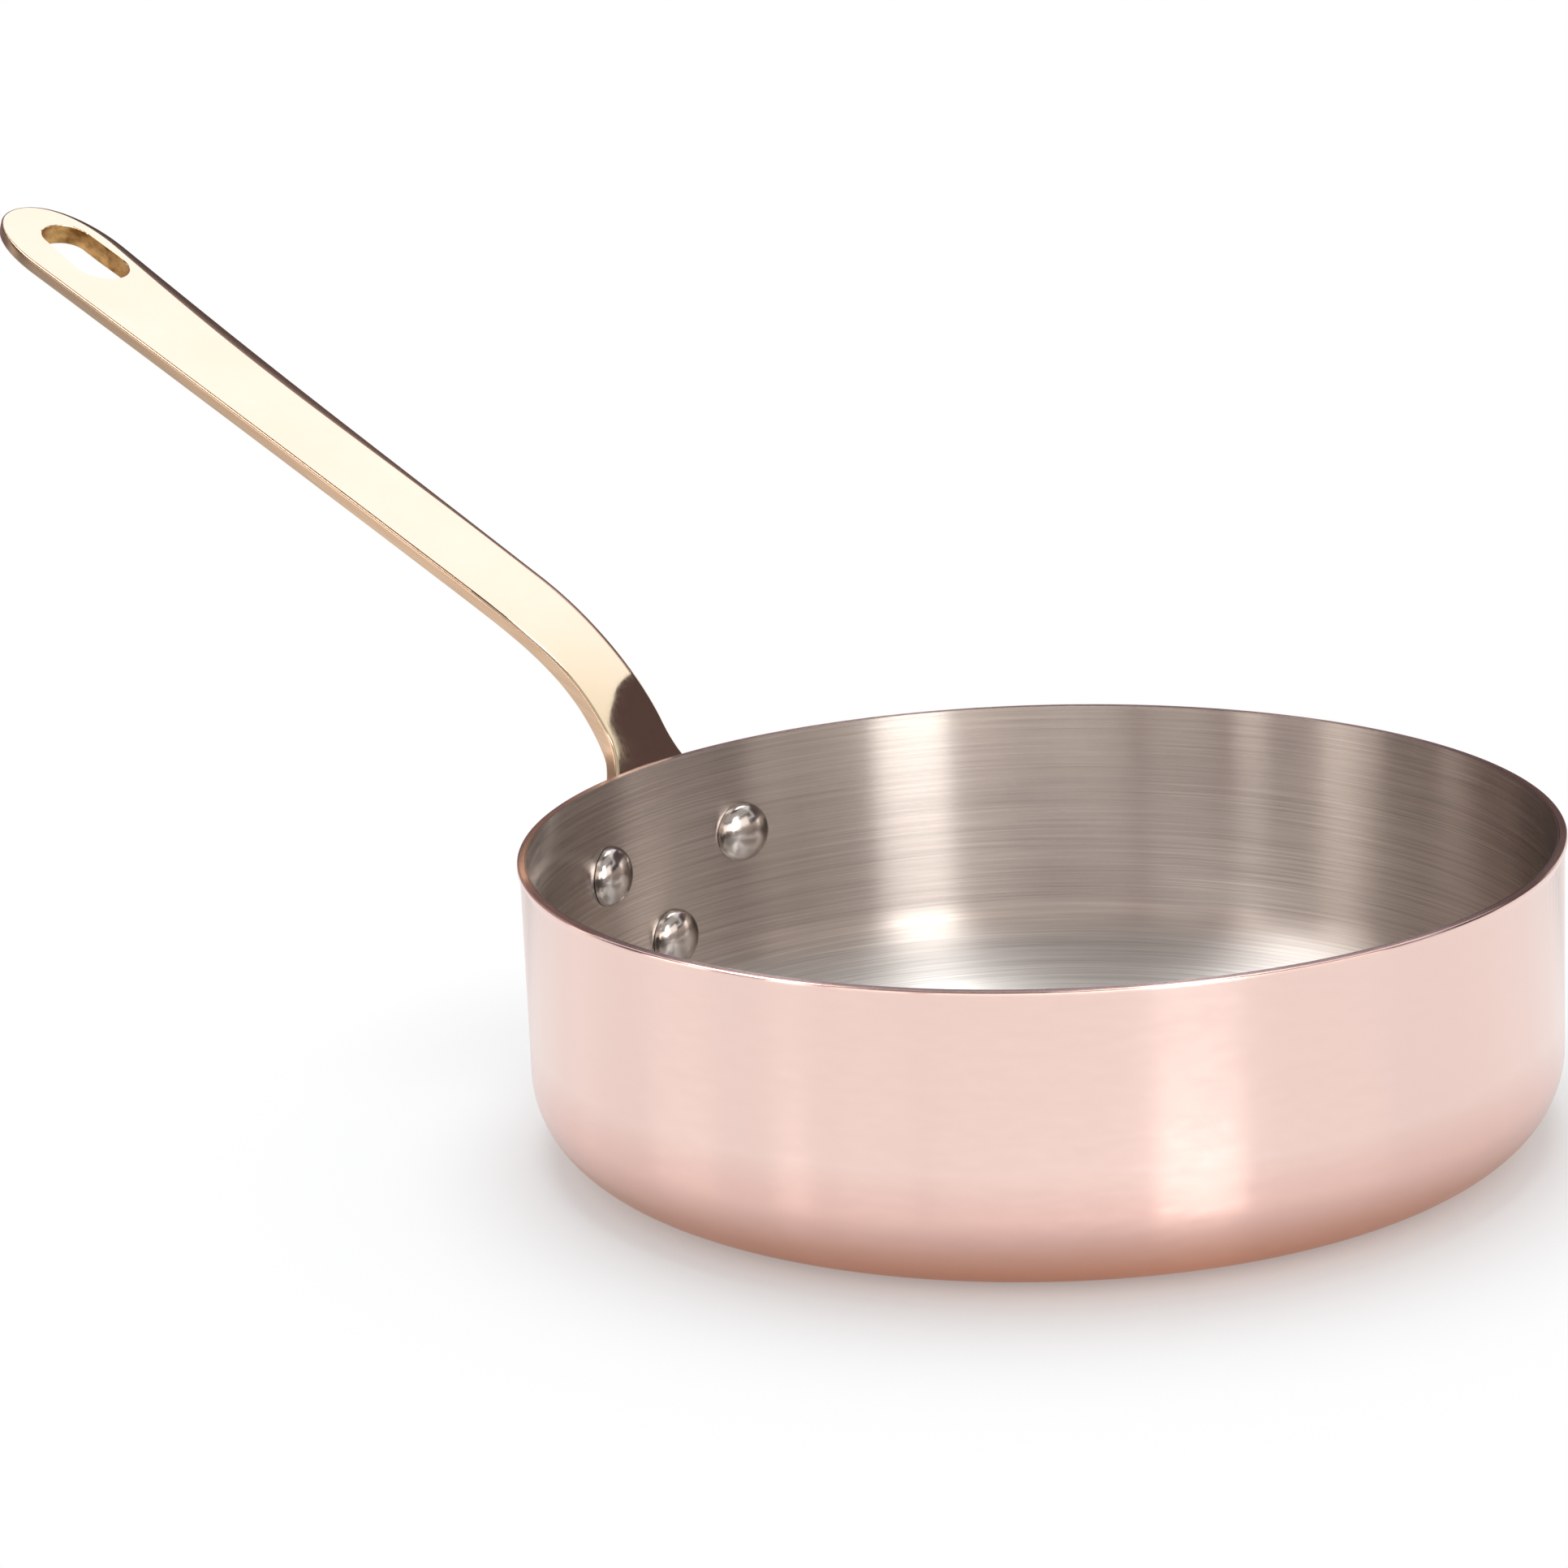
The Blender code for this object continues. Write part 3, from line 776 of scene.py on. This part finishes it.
def studio_card(name, start, end, low, high, colour, strength, distance=1.7, far_end=None):
    """A curved card round the pan, between two headings and two heights in degrees.

    The upper edge may be a list of heights, and the far end may have a colour and a strength of its own."""
    build = bmesh.new()
    columns = max(least_columns, int(abs(end - start) / column_span) + 2)
    tops = high if isinstance(high, list) else [high] * columns
    rows = []
    for j in range(card_rows + 1):
        row = []
        for i, top in enumerate(tops):
            way = math.radians(mix(start, end, i / (len(tops) - 1)))
            lift = math.radians(mix(low, top, j / card_rows))
            x = distance * math.cos(way) * math.cos(lift)
            y = distance * math.sin(way) * math.cos(lift)
            row.append(build.verts.new((x, y, distance * math.sin(lift))))
        rows.append(row)
    for row, above in zip(rows, rows[1:]):
        for i in range(len(row) - 1):
            build.faces.new((row[i], row[i + 1], above[i + 1], above[i]))
    card = place_mesh(name, build)
    glow = bpy.data.materials.new(name)
    glow.use_nodes = True
    glow.node_tree.nodes.remove(glow.node_tree.nodes["Principled BSDF"])
    light = step(glow, "ShaderNodeEmission", (*colour, 1), strength)
    if far_end:
        far_colour, far_strength = far_end
        ends = (math.radians(start), math.radians(end))
        heading = reckon(glow, "ARCTAN2", own_reach(glow, "Y"), own_reach(glow, "X"))
        share = rescale(glow, heading, *ends, 0, 1)
        feed(glow, light.inputs["Color"], blend(glow, share, (*colour, 1), (*far_colour, 1)))
        feed(glow, light.inputs["Strength"], rescale(glow, heading, *ends, strength, far_strength))
    feed(glow, glow.node_tree.nodes["Material Output"].inputs["Surface"], light.outputs[0])
    card.data.materials.append(glow)
    card.visible_camera = False
    card.visible_diffuse = False
    card.visible_shadow = False
    card.visible_transmission = False


dull = (1, 0.72, 0.72)
warm = (1, 0.9, 0.84)
plain = (1, 0.98, 0.96)
cool = (1, 0.95, 1.08)
cream = (1, 0.94, 0.9)
brown = (0.088, 0.056, 0.062)

# Seen from above, headings run anticlockwise from the handle, and the camera stands at 129 degrees. The first
# cards are the walls and soft boxes in front and at both sides, which show in the copper and the lining.
studio_card("front_wall", 106, 148.5, 0, 32, warm, 1.75, far_end=(warm, 2.5))
studio_card("front_wall_end", 86, 102.5, 0, 32, warm, 1.8)
studio_card("front_gap", 80, 106, 0, 32, dull, 0.9, 1.8)
studio_card("key_softbox", 150.5, 169, 5, 45, plain, 8)
studio_card("key_softbox_foot", 151, 169.5, 0, 4, plain, 11)
studio_card("key_side", 170, 176, 0, 32, warm, 1.9)
studio_card("right_wall", 176, 203, 0, 32, warm, 1.45)
studio_card("right_foot", 203, 235, 0, 4, plain, 0.8, 1.6)
studio_card("right_dark_wall", 203, 236, 0, 20, dull, 0.03)
studio_card("flag_side_strip", 220, 228, 22, 36, cream, 0.9)
studio_card("left_strip", 72, 80, 0, 32, warm, 3.4, 1.6)
studio_card("left_gap", 56, 74, 0, 32, dull, 0.5, 1.8)
studio_card("left_softbox", 40, 57, 0, 26, warm, 2.6, 1.6)
studio_card("left_wall", 20, 44, 0, 32, dull, 0.15, 1.8)
studio_card("left_back_strip", 13, 21, 0, 32, warm, 1.5, 1.6)
studio_card("left_back_wall", -28, 13, 0, 32, dull, 0.4, 1.8)

# Behind the pan, a brown flag with a peaked top edge gives the dark crescent in the handle's neck. The soft
# boxes over it light the face of the handle, and the ceilings fill the gaps between them.
flag_start = -136
flag_end = -88
flag_step = 2
flag_peak_heading = -109
flag_peak = 45
left_fall = 0.0193
right_fall = 0.0071
right_drop = 15
right_reach = 25
flag_tops = []
for heading in range(flag_start, flag_end + flag_step, flag_step):
    turn = heading - flag_peak_heading
    if turn > 0:
        flag_tops.append(flag_peak - left_fall * turn**2)
    else:
        flag_tops.append(flag_peak - (right_fall * turn**2 + right_drop * (turn / right_reach) ** 8))
studio_card("white_sweep", -132.5, -75, -1, 24, plain, 0.95, 1.75)
studio_card("dark_sweep", -75, -28, -1, 30, dull, 0.12, 1.75)
studio_card("brown_flag", flag_start, flag_end, 12, flag_tops, brown, 1, 1.65)
studio_card("bend_softbox", -134, -62, 34, 62, cream, 0.95, far_end=(cool, 1.25))
studio_card("back_softbox", -62, 0, 36, 53, cool, 1.25)
studio_card("overhead_softbox", -100, -66, 60, 88, plain, 6, 1.55)
studio_card("left_overhead", -4, 56, 50, [70, 68, 64, 60, 56], plain, 9, 1.55)
studio_card("side_ceiling", 50, 256, 38, 74, cream, 0.5, 1.9)
studio_card("dark_ceiling", 0, 360, 24, 90, dull, 0.08, 2.0)

top_light = bpy.data.lights.new("top_light", "AREA")
top_light.shape = "DISK"
top_light.size = 1.2
top_light.energy = 15
top_lamp = bpy.data.objects.new("top_light", top_light)
top_lamp.location = (0.28, -0.3, 1.5)
top_lamp.rotation_euler = (Vector((0, 0, 0)) - top_lamp.location).to_track_quat("-Z", "Y").to_euler()
top_lamp.visible_glossy = False
bpy.context.scene.collection.objects.link(top_lamp)

# The room is plain white to the camera, through clear things and in mirrors, and dimmer as a light.
world = bpy.data.worlds.new("white_room")
bpy.context.scene.world = world
world.use_nodes = True
background = world.node_tree.nodes["Background"]
background.inputs["Color"].default_value = (1, 1, 1, 1)
room_rays = step(world, "ShaderNodeLightPath").outputs
seen_rays = reckon(world, "MAXIMUM", room_rays["Is Camera Ray"], room_rays["Is Transmission Ray"])
white_rays = reckon(world, "MAXIMUM", seen_rays, room_rays["Is Glossy Ray"])
feed(world, background.inputs["Strength"], rescale(world, white_rays, 0, 1, 0.6, 1))

# Camera
# It stands in front of the pan and a little above it, about a metre away, with a long lens.

lens = bpy.data.cameras.new("product_camera")
lens.lens = 107.31
lens.sensor_width = 36
lens.clip_start = 0.01
camera = bpy.data.objects.new("product_camera", lens)
camera.location = (-0.654335, 0.802294, 0.363041)
camera.rotation_euler = (math.radians(74.895), math.radians(2.4388), math.radians(-138.2491))
bpy.context.scene.collection.objects.link(camera)
bpy.context.scene.camera = camera
bpy.context.scene.view_settings.view_transform = "Standard"
